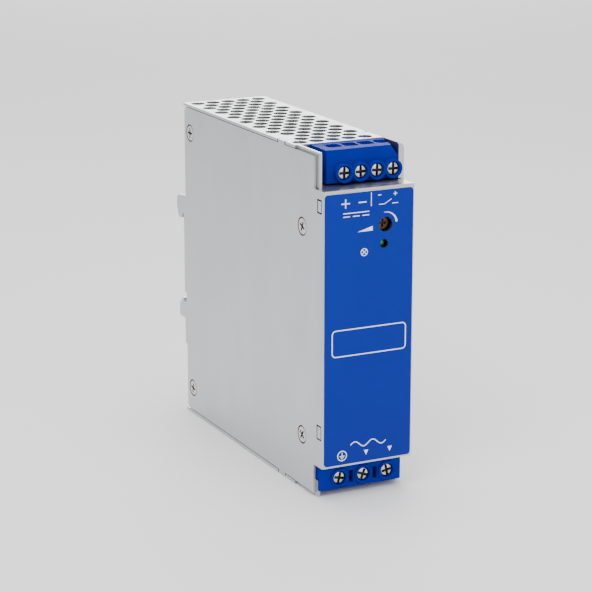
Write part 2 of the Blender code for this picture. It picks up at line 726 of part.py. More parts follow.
def make_boards():
    box("main_board", board_green(), BOARD_X, (3.0, 107.0), (16.0, 108.0))
    box("control_board", board_green(), (-12.0, BOARD_X[0] - 0.2), (106.8, 108.4), (15.0, 40.0))
    box("output_board", board_green(), (-14.0, BOARD_X[1]), (87.2, 88.8), (2.4, 15.6))
    box("input_board", board_green(), (-14.0, BOARD_X[1]), (90.2, 91.8), (108.4, 121.0))
    box("insulation_sheet", insulation_film(), (15.9, 16.3), (2.0, 96.0), (6.0, 117.0))
    for index, (depth, drop) in enumerate(((8.0, 21.0), (8.0, 103.0), (86.0, 62.0))):
        outline = ring((depth, drop), 2.4, 6)
        prism("board_standoff_%d" % (index + 1), nickel(), outline, BOARD_X[1] + GAP, 15.8, across)


def make_power_parts():
    """The main electrical pieces, all soldered to the inner face of the main board."""
    face = BOARD_X[0] - GAP
    core = box("transformer_core", ferrite(), (-8.0, face - 2.0), (44.0, 74.0), (50.0, 78.0))
    cut_box(core, (-9.0, face), (49.0, 55.0), (54.0, 74.0))
    cut_box(core, (-9.0, face), (63.0, 69.0), (54.0, 74.0))
    winding = box("transformer_winding", winding_tape(), (-5.5, face), (49.4, 68.6), (54.4, 73.6))
    cut_box(winding, (-9.0, HALF), (54.6, 63.4), (50.0, 80.0))
    join_box(winding, (face - 1.6, face), (49.4, 68.6), (54.4, 73.6))
    choke = prism("line_choke_core", ferrite(), ring((88.0, 92.0), 8.5, 16), -2.0, 6.0, across)
    cut(choke, prism("cutter", None, ring((88.0, 92.0), 4.6, 12), -4.0, 8.0, across))
    coil = prism("line_choke_base", black_plastic(), ring((88.0, 92.0), 9.0, 16), 6.4, face, across)
    smooth_sides(coil)
    can = prism("bulk_capacitor", capacitor_sleeve(), ring((17.5, 84.0), 11.0, 20), -14.0, face, across)
    smooth_sides(can)
    for index, drop in enumerate((38.0, 52.0)):
        outline = ring((96.0, drop), 5.0, 14)
        can = prism("output_capacitor_%d" % (index + 1), capacitor_sleeve(), outline, -9.0, face, across)
        smooth_sides(can)
    ring_core = prism("output_inductor", winding_tape(), ring((80.0, 34.0), 8.0, 14), -4.0, face, across)
    cut(ring_core, prism("cutter", None, ring((80.0, 34.0), 3.4, 10), -6.0, HALF, across))
    sink = box("heat_sink", aluminium(), (-13.0, face), (36.0, 38.0), (22.0, 100.0))
    join_box(sink, (-13.0, -11.0), (30.0, 38.0), (22.0, 100.0))
    box("power_transistor", black_plastic(), (-4.0, 6.0), (31.4, 35.8), (50.0, 66.0))
    box("bridge_rectifier", black_plastic(), (-6.0, face), (58.0, 62.0), (84.0, 104.0))
    fuse = prism("line_fuse", fuse_ceramic(), ring((8.6, 104.6), 2.6, 12), 72.0, 84.0, forward)
    smooth_sides(fuse)


def main():
    for thing in list(bpy.data.objects):
        bpy.data.objects.remove(thing)
    make_chassis()
    make_cover()
    make_label()
    for index, (depth, drop) in enumerate(CASE_SCREWS):
        make_case_screw("case_screw_%d" % (index + 1), depth, drop)
    make_output_block()
    make_input_block()
    make_bracket()
    make_latch()
    make_spring()
    make_clip_fasteners()
    make_controls()
    make_boards()
    make_power_parts()


main()
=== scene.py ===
"""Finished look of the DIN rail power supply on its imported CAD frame.

Lengths are millimetres until a mesh is made.  depth is measured forward from the outside
of the rear wall and drop down from the top face, as in the CAD source.
"""
import math

import bmesh
import bpy
from mathutils import Matrix, Vector


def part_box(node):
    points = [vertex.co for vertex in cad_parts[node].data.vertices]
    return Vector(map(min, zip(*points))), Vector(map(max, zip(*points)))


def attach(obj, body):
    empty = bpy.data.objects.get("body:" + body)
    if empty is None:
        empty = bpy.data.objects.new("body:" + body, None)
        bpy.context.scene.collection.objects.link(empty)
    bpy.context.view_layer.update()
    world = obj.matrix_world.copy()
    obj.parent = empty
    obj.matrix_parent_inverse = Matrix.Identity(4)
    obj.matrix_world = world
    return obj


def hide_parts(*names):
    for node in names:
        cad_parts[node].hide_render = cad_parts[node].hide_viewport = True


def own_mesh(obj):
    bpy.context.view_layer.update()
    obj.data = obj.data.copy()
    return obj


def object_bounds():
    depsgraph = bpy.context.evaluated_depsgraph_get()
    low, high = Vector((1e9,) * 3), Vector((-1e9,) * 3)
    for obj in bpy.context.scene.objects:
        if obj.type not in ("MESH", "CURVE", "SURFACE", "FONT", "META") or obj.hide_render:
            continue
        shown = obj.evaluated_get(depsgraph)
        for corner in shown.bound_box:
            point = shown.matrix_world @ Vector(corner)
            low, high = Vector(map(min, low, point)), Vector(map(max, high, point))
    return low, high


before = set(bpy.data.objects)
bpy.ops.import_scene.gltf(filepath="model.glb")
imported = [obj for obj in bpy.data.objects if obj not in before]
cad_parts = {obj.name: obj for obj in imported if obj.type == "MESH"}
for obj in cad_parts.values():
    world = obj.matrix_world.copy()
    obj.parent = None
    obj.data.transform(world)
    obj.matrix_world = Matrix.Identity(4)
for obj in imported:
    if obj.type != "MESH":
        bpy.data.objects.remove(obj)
CAD_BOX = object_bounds()

MM = 0.001
BODY = "housing"


def corners_of(node):
    """Lowest and highest corner of a CAD node in millimetres."""
    low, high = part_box(node)
    return Vector([round(v / MM, 3) for v in low]), Vector([round(v / MM, 3) for v in high])


# Sizes read from the frame
CHASSIS_LOW, CHASSIS_HIGH = corners_of("chassis")
COVER_LOW, COVER_HIGH = corners_of("cover")
HALF = CHASSIS_HIGH.x
HEIGHT = CHASSIS_HIGH.z - CHASSIS_LOW.z
RAIL_DROP = CHASSIS_HIGH.z
SEAT = -COVER_HIGH.y
DEPTH = COVER_HIGH.y - COVER_LOW.y

# Sheet metal
SHEET = 1.0
BEND = 2.0
FOLD = 1.0
INSIDE = HALF - SHEET
GAP = 0.1
RUN_GAP = 0.3
WINDOW_GAP = 0.58
SEAM = 0.28
ROOF_FRONT = 97.0
LEFT_FRONT = 111.7
RIGHT_FRONT = 109.7
CHEEK_FRONT = 113.6
LOW_CHEEK_FRONT = 113.0
LOW_CHEEK_DROP = 117.4
SHELF_DROP = 12.5
FLOOR_DROP = 111.5
LIP = 2.1

# Ventilation holes
HOLE_PITCH = 6.35
HOLE_RADIUS = 2.7
HOLE_SIDES = 28
HOLE_ROWS = 17
HOLE_FIRST_DEPTH = 5.0
HOLE_FIRST_X = -14.0

# Tabs and screws of the case
TAB_DEPTHS = (83.2, 89.4)
WINDOW_DEPTHS = (114.2, 117.6)
WINDOW_DROPS = ((15.5, 20.5), (96.0, 101.4))
CASE_SCREWS = ((6.0, 10.9), (6.0, 113.0), (102.7, 27.5), (102.7, 103.2))

# Terminal blocks
BLOCK_LEFT = -12.2
BLOCK_RIGHT = 15.7
OUT_FACE = 111.6
OUT_BODY_FRONT = 109.5
OUT_BODY_BACK = 92.0
OUT_DROPS = (0.3, 11.9)
OUT_RING = 3.35
IN_FACE = 114.6
IN_BODY_FRONT = 113.9
IN_BODY_BACK = 95.0
IN_DROPS = (112.3, 121.3)
IN_RING = 3.6
# Half widths of the clamp chamber and the wire entry
OUT_CLAMP = (2.6, 2.3)
IN_CLAMP = (3.2, 2.7)
CAGE_WALL = 0.9

# Rail clip
CLIP_HALF = 17.0
CLIP_SHEET = 1.5
HOOK_TOP = 36.8
RAIL_TOP = 44.6
RAIL_SLOT = 1.3
PAD_HALF = 4.0
LATCH_EDGE = 80.0
LATCH_TOOTH = 78.8
LATCH_END = 119.5
STRUT_DROP = 102.0
WINDOW_TOP = 89.0
SPRING_WIRE = 0.3
SPRING_TURNS = 7
SPRING_SEGMENTS = 24
SPRING_SIDES = 10
# Rise of each closed half turn, in wire radii
SPRING_END_RISE = 1.2

# Front panel
PRINT_RAISED = 0.04
LABEL_CORNER = 1.3
CONTROL_HOLES = (("trimmer_rotor", 0.3, 40), ("status_lamp", 0.15, 32))

# Screws
THREAD_PITCH = 0.7
SHANK_RADIUS = 1.3
# Depths of the underside and of the neck below the top of a terminal screw
HEAD_UNDER = 1.5
NECK_END = 2.2
CROSS_HALF = 0.52
CROSS_OFFSET = 0.7
OUTPUT_TURNS = (90.0, 88.0, 92.0, 90.0)
INPUT_TURNS = (102.0, 20.0, 78.0)

# Edges sharper than this are rounded or kept crisp, in degrees
EDGE_ANGLE = 35

# Light strengths
WORLD = 0.95
KEY = 6.0
TOP = 5.0
FRONT = 2.2
BACK = 20.0
LIT_POINT = (0.0, -0.06, 0.0)

# Camera fitted to the photo: metres, degrees and millimetres of lens
TARGET = Vector((3.157, -58.3, -3.998)) * MM
DISTANCE = 791.0 * MM
AZIMUTH = -26.246
ELEVATION = 14.882
LENS = 128.6
SENSOR = 36.0


def y_at(depth):
    return -(SEAT + depth)


def z_at(drop):
    return RAIL_DROP - drop


def axis_of(node):
    """Centre of a CAD node as (x, drop)."""
    low, high = corners_of(node)
    return (low.x + high.x) / 2, RAIL_DROP - (low.z + high.z) / 2


def span_of(node):
    """Radius, front depth and back depth of a turned CAD node."""
    low, high = corners_of(node)
    return (high.x - low.x) / 2, -low.y - SEAT, -high.y - SEAT


# ---------------------------------------------------------------- materials


def noise(tree, source, scale, detail):
    node = tree.nodes.new("ShaderNodeTexNoise")
    node.inputs["Scale"].default_value = scale
    node.inputs["Detail"].default_value = detail
    tree.links.new(source, node.inputs["Vector"])
    return node.outputs["Fac"]


def remap(tree, value, low, high):
    node = tree.nodes.new("ShaderNodeMapRange")
    node.inputs["From Min"].default_value = 0.3
    node.inputs["From Max"].default_value = 0.7
    node.inputs["To Min"].default_value = low
    node.inputs["To Max"].default_value = high
    tree.links.new(value, node.inputs["Value"])
    return node.outputs["Result"]


def look(name, colour, roughness, metallic=0.0, spread=0.05, scale=90.0, grain=(1.0, 1.0, 1.0), bump=0.02,
         fine=1400.0, coat=0.0, painted_foot_shade=None, shine=0.5):
    """Noise-driven colour, roughness and surface grain for one finish.

    spread and scale set the mottling, bump and fine the grain, and the shade colour given for the foot
    multiplies the colour
    at the foot of the case: painted shade, darker towards the bottom.
    """
    made = bpy.data.materials.new(name)
    made.use_nodes = True
    tree = made.node_tree
    shader = tree.nodes["Principled BSDF"]
    shader.inputs["Metallic"].default_value = metallic
    shader.inputs["Coat Weight"].default_value = coat
    shader.inputs["Specular IOR Level"].default_value = shine
    where = tree.nodes.new("ShaderNodeTexCoord").outputs["Object"]
    stretch = tree.nodes.new("ShaderNodeMapping")
    stretch.inputs["Scale"].default_value = grain
    tree.links.new(where, stretch.inputs["Vector"])
    along = stretch.outputs["Vector"]

    tint = tree.nodes.new("ShaderNodeMix")
    tint.data_type = "RGBA"
    tint.inputs[6].default_value = (*[c * (1 - spread) for c in colour], 1.0)
    tint.inputs[7].default_value = (*[min(c * (1 + spread), 1.0) for c in colour], 1.0)
    tree.links.new(remap(tree, noise(tree, along, scale, 4.0), 0.0, 1.0), tint.inputs[0])
    result = tint.outputs[2]
    # Painted shade: the colour is multiplied darker towards the foot of the case.
    if painted_foot_shade:
        split = tree.nodes.new("ShaderNodeSeparateXYZ")
        tree.links.new(where, split.inputs[0])
        height = tree.nodes.new("ShaderNodeMapRange")
        height.inputs["From Min"].default_value = CHASSIS_LOW.z * MM
        height.inputs["From Max"].default_value = CHASSIS_HIGH.z * MM
        tree.links.new(split.outputs["Z"], height.inputs["Value"])
        blend = tree.nodes.new("ShaderNodeMix")
        blend.data_type = "RGBA"
        blend.blend_type = "MULTIPLY"
        blend.inputs[0].default_value = 1.0
        ramp = tree.nodes.new("ShaderNodeMix")
        ramp.data_type = "RGBA"
        ramp.inputs[6].default_value = (*painted_foot_shade, 1.0)
        ramp.inputs[7].default_value = (1.0, 1.0, 1.0, 1.0)
        tree.links.new(height.outputs["Result"], ramp.inputs[0])
        tree.links.new(result, blend.inputs[6])
        tree.links.new(ramp.outputs[2], blend.inputs[7])
        result = blend.outputs[2]
    tree.links.new(result, shader.inputs["Base Color"])
    rough = remap(tree, noise(tree, along, scale * 2.3, 3.0), roughness - 0.04, roughness + 0.04)
    tree.links.new(rough, shader.inputs["Roughness"])
    relief = tree.nodes.new("ShaderNodeBump")
    relief.inputs["Strength"].default_value = bump
    relief.inputs["Distance"].default_value = 0.0002
    tree.links.new(noise(tree, along, fine, 2.0), relief.inputs["Height"])
    tree.links.new(relief.outputs["Normal"], shader.inputs["Normal"])
    return made


FINISHES = {
    "zinc_steel": dict(colour=(0.51, 0.52, 0.535), roughness=0.34, metallic=1.0, spread=0.025, scale=60.0,
                       grain=(1.0, 1.0, 0.35), bump=0.03),
    "nickel_steel": dict(colour=(0.56, 0.55, 0.52), roughness=0.28, metallic=1.0, spread=0.06, scale=700.0,
                         bump=0.04, fine=3000.0),
    # Near-black finish for the walls of screw slots and crosses, countersinks, notches, windows and control
    # holes: painted shade standing in for the shadow inside these hollows
    "screw_recess": dict(colour=(0.045, 0.042, 0.038), roughness=0.55, metallic=0.5, spread=0.12, scale=900.0,
                         bump=0.1, shine=0.2),
    "spring_wire": dict(colour=(0.38, 0.38, 0.39), roughness=0.3, metallic=1.0, spread=0.08, scale=500.0,
                        grain=(1.0, 1.0, 0.2), bump=0.03),
    "blue_plastic": dict(colour=(0.002, 0.015, 0.27), roughness=0.45, spread=0.06, scale=140.0, bump=0.1,
                         fine=2600.0, shine=0.012),
    # The label film darkens towards its foot through painted shade.
    "blue_film": dict(colour=(0.0002, 0.0165, 0.29), roughness=0.4, spread=0.03, scale=70.0, fine=1800.0,
                      painted_foot_shade=(0.6, 0.66, 0.86), shine=0.15),
    "tinned_copper": dict(colour=(0.72, 0.62, 0.5), roughness=0.36, metallic=1.0, spread=0.08, scale=600.0,
                          grain=(1.0, 0.2, 1.0), bump=0.05),
    "board_laminate": dict(colour=(0.02, 0.16, 0.07), roughness=0.48, spread=0.18, scale=900.0, bump=0.12),
    "ferrite": dict(colour=(0.05, 0.05, 0.055), roughness=0.62, spread=0.15, scale=1200.0, bump=0.2),
    "winding_tape": dict(colour=(0.75, 0.55, 0.08), roughness=0.45, spread=0.1, scale=300.0,
                         grain=(0.2, 1.0, 1.0), bump=0.1),
    "aluminium": dict(colour=(0.72, 0.73, 0.74), roughness=0.36, metallic=1.0, scale=300.0,
                      grain=(1.0, 1.0, 0.1), bump=0.06),
    "black_plastic": dict(colour=(0.022, 0.022, 0.024), roughness=0.46, spread=0.12, scale=400.0, bump=0.1),
    "capacitor_sleeve": dict(colour=(0.03, 0.04, 0.09), roughness=0.4, spread=0.1, scale=200.0, bump=0.05),
    "trimmer_amber": dict(colour=(0.115, 0.045, 0.006), roughness=0.42, spread=0.12, scale=500.0, bump=0.08),
    "lamp_green": dict(colour=(0.02, 0.3, 0.06), roughness=0.18, spread=0.1, scale=400.0, bump=0.03,
                       coat=0.4),
    "insulation_film": dict(colour=(0.75, 0.74, 0.7), roughness=0.42, spread=0.04, scale=150.0, bump=0.04),
    "fuse_ceramic": dict(colour=(0.8, 0.78, 0.72), roughness=0.32, scale=300.0, bump=0.04),
    "print_white": dict(colour=(0.86, 0.88, 0.9), roughness=0.45, spread=0.04, scale=900.0, bump=0.05),
}
LOOKS = {name: look(name, **values) for name, values in FINISHES.items()}


# ---------------------------------------------------------------- mesh helpers


def new_object(name, bm, finish):
    bmesh.ops.recalc_face_normals(bm, faces=bm.faces)
    bmesh.ops.scale(bm, verts=bm.verts, vec=(MM, MM, MM))
    mesh = bpy.data.meshes.new(name)
    bm.to_mesh(mesh)
    bm.free()
    if finish:
        mesh.materials.append(LOOKS[finish])
    thing = bpy.data.objects.new(name, mesh)
    bpy.context.scene.collection.objects.link(thing)
    return thing


def box_mesh(bm, x, depth, drop):
    low = Vector((min(x), y_at(max(depth)), z_at(max(drop))))
    high = Vector((max(x), y_at(min(depth)), z_at(min(drop))))
    place = Matrix.Translation((low + high) / 2) @ Matrix.Diagonal((*(high - low), 1.0))
    bmesh.ops.create_cube(bm, size=1.0, matrix=place)


def box(name, finish, x, depth, drop):
    bm = bmesh.new()
    box_mesh(bm, x, depth, drop)
    return new_object(name, bm, finish)


def loft_mesh(bm, rings):
    """Join rings of points with quads and close both ends."""
    loops = [[bm.verts.new(point) for point in ring_points] for ring_points in rings]
    bm.faces.new(loops[0])
    bm.faces.new(loops[-1])
    count = len(loops[0])
    for first, second in zip(loops, loops[1:]):
        for index in range(count):
            after = (index + 1) % count
            bm.faces.new((first[index], first[after], second[after], second[index]))


def loft(name, finish, rings):
    bm = bmesh.new()
    loft_mesh(bm, rings)
    return new_object(name, bm, finish)


def prism_mesh(bm, outline, low, high, place):
    loft_mesh(bm, [[place(a, b, level) for a, b in outline] for level in (low, high)])


def prism(name, finish, outline, low, high, place):
    bm = bmesh.new()
    prism_mesh(bm, outline, low, high, place)
    return new_object(name, bm, finish)


def across(a, b, level):
    """Outline in depth and drop, extruded along X."""
    return Vector((level, y_at(a), z_at(b)))


def forward(a, b, level):
    """Outline in x and drop, extruded along the depth."""
    return Vector((a, y_at(level), z_at(b)))


def upward(a, b, level):
    """Outline in x and depth, extruded along the drop."""
    return Vector((a, y_at(b), z_at(level)))


def at_back(a, b, level):
    """Outline in distance behind the rear wall and drop, extruded along X."""
    return Vector((level, y_at(-a), z_at(b)))


def arc(centre, radius, start, end, steps):
    points = []
    for index in range(steps + 1):
        angle = math.radians(start + (end - start) * index / steps)
        points.append((centre[0] + radius * math.cos(angle), centre[1] + radius * math.sin(angle)))
    return points


def ring(centre, radius, sides, turn=0.0):
    return arc(centre, radius, turn, turn + 360.0 - 360.0 / sides, sides - 1)


def round_rect(x, drop, radius, steps=6):
    corners = (
        ((x[1] - radius, drop[1] - radius), 0),
        ((x[0] + radius, drop[1] - radius), 90),
        ((x[0] + radius, drop[0] + radius), 180),
        ((x[1] - radius, drop[0] + radius), 270),
    )
    points = []
    for centre, start in corners:
        points += arc(centre, radius, start, start + 90, steps)
    return points


def turned(name, finish, profile, centre, sides=40, place=forward):
    """Turn (radius, level) points about a line through centre."""
    rings = [[place(a, b, level) for a, b in ring(centre, radius, sides)] for radius, level in profile]
    return loft(name, finish, rings)


def combine(thing, tool, operation):
    step = thing.modifiers.new(operation.title(), "BOOLEAN")
    step.operation = operation
    step.solver = "EXACT"
    step.object = tool
    step.material_mode = "TRANSFER" if tool.data.materials else "INDEX"
    evaluated = thing.evaluated_get(bpy.context.evaluated_depsgraph_get())
    result = bpy.data.meshes.new_from_object(evaluated)
    old = thing.data
    thing.modifiers.clear()
    thing.data = result
    result.name = thing.name
    bpy.data.meshes.remove(old)
    bpy.data.objects.remove(tool)
    return thing


def cut(thing, tool):
    return combine(thing, tool, "DIFFERENCE")


def join(thing, tool):
    return combine(thing, tool, "UNION")


def cut_box(thing, x, depth, drop, finish=None):
    return cut(thing, box("cutter", finish, x, depth, drop))


def join_box(thing, x, depth, drop):
    return join(thing, box("piece", None, x, depth, drop))


def dress(thing, body, nodes, edge):
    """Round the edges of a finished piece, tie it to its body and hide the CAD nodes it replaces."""
    thing.data.shade_smooth()
    if edge:
        rounded = thing.modifiers.new("Edges", "BEVEL")
        rounded.width = edge * MM
        rounded.segments = 2
        rounded.limit_method = "ANGLE"
        rounded.angle_limit = math.radians(EDGE_ANGLE)
        rounded.use_clamp_overlap = True
        rounded.harden_normals = True
    else:
        thing.data.set_sharp_from_angle(angle=math.radians(EDGE_ANGLE))
    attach(thing, body)
    if nodes:
        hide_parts(*nodes)


# ---------------------------------------------------------------- sheet metal


def vent_cutter(drops):
    bm = bmesh.new()
    row_step = HOLE_PITCH * math.sqrt(3) / 2
    for row in range(HOLE_ROWS):
        shift = (row % 2) * HOLE_PITCH / 2
        for column in range(5 - row % 2):
            x = HOLE_FIRST_X + shift + column * HOLE_PITCH
            depth = HOLE_FIRST_DEPTH + row * row_step
            beside_tab = column == 0 and shift == 0 and TAB_DEPTHS[0] - 3 < depth < TAB_DEPTHS[1] + 3
            if beside_tab or depth > ROOF_FRONT - 3.5:
                continue
            prism_mesh(bm, ring((x, depth), HOLE_RADIUS, HOLE_SIDES), drops[0], drops[1], upward)
    return new_object("cutter", bm, None)


def cut_control_holes(thing, low, high):
    """Open a front sheet over the trimmer and the lamp; the hole walls get the dark painted shade finish."""
    for node, extra, sides in CONTROL_HOLES:
        outline = ring(axis_of(node), span_of(node)[0] + extra, sides)
        cut(thing, prism("cutter", "screw_recess", outline, low, high, forward))


def make_chassis():
    """Right side, top and bottom folded from one sheet, with flanges behind the left side."""
    steps = 8
    inner = BEND - SHEET
    end = HALF - BEND
    low = HEIGHT - BEND
    outline = [(-HALF, 0.0)]
    outline += arc((end, BEND), BEND, -90, 0, steps)
    outline += arc((end, low), BEND, 0, 90, steps)
    outline += [(-HALF, HEIGHT), (-HALF, HEIGHT - SHEET)]
    outline += arc((end, low), inner, 90, 0, steps)
    outline += arc((end, BEND), inner, 0, -90, steps)
    outline += [(-HALF, SHEET)]
    front = DEPTH - SHEET - RUN_GAP
    sheet = prism("case_shell", "zinc_steel", outline, 0.0, front, forward)

    flange = (-INSIDE + GAP, -INSIDE + GAP + SHEET)
    for drops in ((0.4, 17.0), (HEIGHT - 0.4, HEIGHT - 17.0)):
        join_box(sheet, flange, (2.0, 12.0), drops)
    for drops in ((0.4, 33.0), (HEIGHT - 0.4, 92.0)):
        join_box(sheet, flange, (90.0, front), drops)

    for drops in ((-1.0, SHELF_DROP + SHEET + GAP), (FLOOR_DROP - SHEET - GAP, HEIGHT + 1.0)):
        cut_box(sheet, (flange[1], INSIDE), (ROOF_FRONT, DEPTH), drops)
        cut_box(sheet, (-HALF - 1, flange[0]), (ROOF_FRONT, DEPTH), drops)
        cut_box(sheet, (INSIDE - 0.1, HALF + 1), (RIGHT_FRONT, DEPTH), drops)
    cut_box(sheet, (-HALF - 1, 0.0), (CHEEK_FRONT, DEPTH), (-1.0, SHELF_DROP + SHEET + GAP))
    cut_box(sheet, (-HALF - 1, 0.0), (LOW_CHEEK_FRONT, DEPTH), (FLOOR_DROP - SHEET - GAP, HEIGHT + 1))
    cut_box(sheet, (-HALF - 1, 0.0), (LEFT_FRONT - 3, DEPTH), (FLOOR_DROP - SHEET - GAP, LOW_CHEEK_DROP))

    for corner, turn, drop in ((BEND, -90, SHELF_DROP - 0.2), (HEIGHT - BEND, 90, FLOOR_DROP + 0.2)):
        lip = arc((end, corner), BEND - 0.2, turn, 0, steps) + [(HALF - 0.2, drop), (HALF - LIP, drop)]
        lip.append((HALF - LIP, lip[0][1]))
        join(sheet, prism("piece", None, lip, RIGHT_FRONT - SHEET, RIGHT_FRONT, forward))
    for drops in ((-1.0, 2.6), (HEIGHT - 2.6, HEIGHT + 1.0)):
        cut_box(sheet, (HALF - 2.6, HALF + 1), (84.4, 86.0), drops)

    left_edge = (-HALF - 1, -INSIDE + GAP)
    # The notches beside the tabs get walls in the dark painted shade finish.
    for drops in ((-1.0, SHEET + 0.4), (HEIGHT - SHEET - 0.4, HEIGHT + 1.0)):
        cut_box(sheet, left_edge, TAB_DEPTHS, drops, "screw_recess")
    for top, bottom in WINDOW_DROPS:
        drops = (top + WINDOW_GAP, bottom - WINDOW_GAP)
        join_box(sheet, (-HALF, -INSIDE + 0.6), (WINDOW_DEPTHS[0] + WINDOW_GAP, front), drops)
    for depth, drop in CASE_SCREWS:
        cut(sheet, prism("cutter", None, ring((depth, drop), 1.55, 16), -HALF, -14, across))
    for drops in ((SHEET, SHEET + 1.6), (HEIGHT - SHEET - 1.6, HEIGHT - SHEET)):
        cut_box(sheet, (-INSIDE, flange[1] + 0.1), (89.0, ROOF_FRONT - 0.8), drops)
    cut(sheet, vent_cutter((-1.0, SHEET + 1.0)))
    cut(sheet, vent_cutter((HEIGHT - SHEET - 1.0, HEIGHT + 1.0)))
    dress(sheet, BODY, ("chassis",), 0.12)


def make_cover():
    """Left side, front and rear wall folded from one sheet."""
    steps = 6
    right = INSIDE - GAP
    outline = [(right, 0.0)]
    outline += arc((-HALF + FOLD, FOLD), FOLD, 270, 180, steps)
    outline += arc((-HALF + FOLD, DEPTH - FOLD), FOLD, 180, 90, steps)
    outline += [(17.3, DEPTH), (17.3, DEPTH - SHEET)]
    outline += [(-INSIDE, DEPTH - SHEET), (-INSIDE, SHEET), (right, SHEET)]
    sheet = prism("case_cover", "zinc_steel", outline, SHEET + SEAM, HEIGHT - SHEET - SEAM, upward)

    for drops in ((-1.0, SHELF_DROP), (FLOOR_DROP, HEIGHT + 1.0)):
        cut_box(sheet, (-HALF - 1, HALF + 1), (LEFT_FRONT, DEPTH + 1), drops)
    for drops in ((SHELF_DROP, SHELF_DROP + SHEET), (FLOOR_DROP - SHEET, FLOOR_DROP)):
        join_box(sheet, (-INSIDE - 0.3, INSIDE - GAP), (LEFT_FRONT + 2.2, DEPTH - 0.3), drops)
        join_box(sheet, (-INSIDE + SHEET + 2 * GAP, INSIDE - GAP), (ROOF_FRONT + 1.5, DEPTH - 0.3), drops)
    tab = (TAB_DEPTHS[0] + WINDOW_GAP, TAB_DEPTHS[1] - WINDOW_GAP)
    join_box(sheet, (-HALF, -INSIDE), tab, (0.0, 3.0))
    join_box(sheet, (-HALF, -INSIDE), tab, (HEIGHT - 3.0, HEIGHT))
    # The window walls get the dark painted shade finish, which draws dark outlines round the tabs.
    for window in WINDOW_DROPS:
        cut_box(sheet, (-HALF - 1, -INSIDE + 0.05), WINDOW_DEPTHS, window, "screw_recess")
    for drops in ((0.0, 2.4), (HEIGHT - 2.4, HEIGHT)):
        cut_box(sheet, (-HALF - 1, -INSIDE + 0.6), (-1.0, SHEET + 0.6), drops)
        cut_box(sheet, (right - 1.0, HALF), (-1.0, SHEET + 0.6), drops)
    # The countersinks get the dark painted shade finish on their walls.
    for depth, drop in CASE_SCREWS:
        sink = ((3.5, -HALF - 0.2), (3.3, -HALF + 0.15), (1.75, -INSIDE + 0.2))
        cut(sheet, turned("cutter", "screw_recess", sink, (depth, drop), 40, across))
    cut_control_holes(sheet, DEPTH - 2, DEPTH + 1)
    for index in (1, 2):
        cut(sheet, prism("cutter", None, ring(axis_of("bracket_screw_%d" % index), 1.6, 20), -1, 2, forward))
    dress(sheet, BODY, ("cover",), 0.12)


def make_label():
    """Blue film; gives the depth of its front for the print."""
    low, high = corners_of("front_label")
    back, front = -high.y - SEAT, -low.y - SEAT - PRINT_RAISED
    outline = round_rect((low.x, high.x), (RAIL_DROP - high.z, RAIL_DROP - low.z), LABEL_CORNER, 8)
    label = prism("label_film", "blue_film", outline, back, front, forward)
    cut_control_holes(label, DEPTH - 1, DEPTH + 2)
    dress(label, BODY, ("front_label",), 0.06)
    return front


# ---------------------------------------------------------------- printed marks


# Outlines of the marks in x and drop
PRINTS = []


def taper(points, widths):
    """Outline of a line through points with a width at each."""
    left, right = [], []
    for index, (point, width) in enumerate(zip(points, widths)):
        before = points[max(index - 1, 0)]
        after = points[min(index + 1, len(points) - 1)]
        run = Vector((after[0] - before[0], after[1] - before[1])).normalized()
        left.append((point[0] - run.y * width / 2, point[1] + run.x * width / 2))
        right.append((point[0] + run.y * width / 2, point[1] - run.x * width / 2))
    return left + right[::-1]


def stroke(points, width):
    """Outline of a line of even width through points."""
    return taper(points, [width] * len(points))


def bar(x0, drop0, x1, drop1, width):
    PRINTS.append(stroke([(x0, drop0), (x1, drop1)], width))


def circle_line(centre, radius, width, steps=36):
    """A ring drawn as two half strokes so that each outline stays simple."""
    for start in (0, 180):
        PRINTS.append(stroke(arc(centre, radius, start, start + 180, steps // 2), width))


def plus(centre, reach, width):
    bar(centre[0] - reach, centre[1], centre[0] + reach, centre[1], width)
    bar(centre[0], centre[1] - reach, centre[0], centre[1] - width / 2, width)
    bar(centre[0], centre[1] + width / 2, centre[0], centre[1] + reach, width)


def rounded_frame(x, drop, radius, width):
    """A rounded rectangle as four straight strokes and four corner strokes."""
    bar(x[0] + radius, drop[0], x[1] - radius, drop[0], width)
    bar(x[0] + radius, drop[1], x[1] - radius, drop[1], width)
    bar(x[0], drop[0] + radius, x[0], drop[1] - radius, width)
    bar(x[1], drop[0] + radius, x[1], drop[1] - radius, width)
    for centre, start in (((x[1] - radius, drop[1] - radius), 0), ((x[0] + radius, drop[1] - radius), 90),
                          ((x[0] + radius, drop[0] + radius), 180), ((x[1] - radius, drop[0] + radius), 270)):
        PRINTS.append(stroke(arc(centre, radius, start, start + 90, 8), width))


